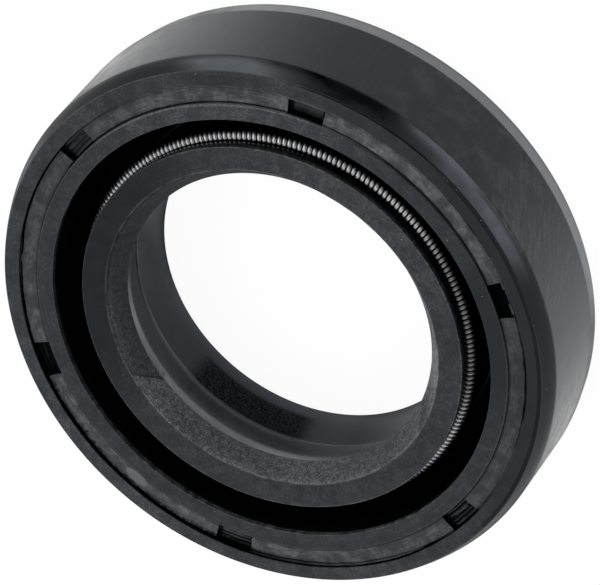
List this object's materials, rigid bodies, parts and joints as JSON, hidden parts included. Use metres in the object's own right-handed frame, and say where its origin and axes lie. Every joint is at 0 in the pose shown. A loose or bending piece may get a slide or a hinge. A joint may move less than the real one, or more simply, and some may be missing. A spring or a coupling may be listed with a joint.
{
  "type": "radial shaft seal",
  "caption": "Rubber-covered radial shaft seal with a sprung sealing lip, a dust lip, an embedded steel ring and a garter spring, lying spring side up.",
  "frame": {"origin": "centre of the flat back face, on the seal's axis", "axes": "+Z along the axis, from the back face towards the spring side; +X through the middle of one of the notches in the front face"},
  "size_m": [0.052, 0.052, 0.012],
  "materials": {
    "black_rubber": "matte moulded nitrile rubber",
    "pressed_steel": "phosphated pressed steel",
    "spring_wire": "bright drawn spring wire"
  },
  "bodies": {
    "root": {"seal_body": "black_rubber", "stiffening_ring": "pressed_steel", "garter_spring": "spring_wire"}
  },
  "joints": []
}
